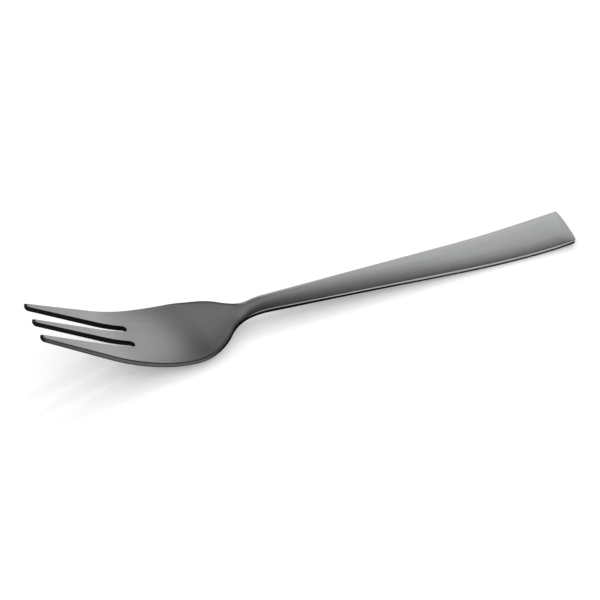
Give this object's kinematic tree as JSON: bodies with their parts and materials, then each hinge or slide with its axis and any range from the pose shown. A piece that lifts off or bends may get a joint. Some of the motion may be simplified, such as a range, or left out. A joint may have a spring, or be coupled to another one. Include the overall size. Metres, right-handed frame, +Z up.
{
  "type": "cake fork",
  "caption": "Small table fork for cake with slotted tines, a shallow dished head, a slim arched neck and a flat handle that widens to a nearly square end.",
  "frame": {"origin": "on the table, under the middle of the fork's bounding box", "axes": "+X from the tine tips to the handle end, +Z up from the table, +Y to the right as seen from the handle end"},
  "size_m": [0.15, 0.0224, 0.0217],
  "materials": {
    "dark_steel": "stainless steel with a dark grey coating, brushed along its length"
  },
  "bodies": {
    "root": {"left_tine": "dark_steel", "middle_tine": "dark_steel", "right_tine": "dark_steel", "bowl": "dark_steel", "neck": "dark_steel", "handle": "dark_steel"}
  },
  "joints": []
}
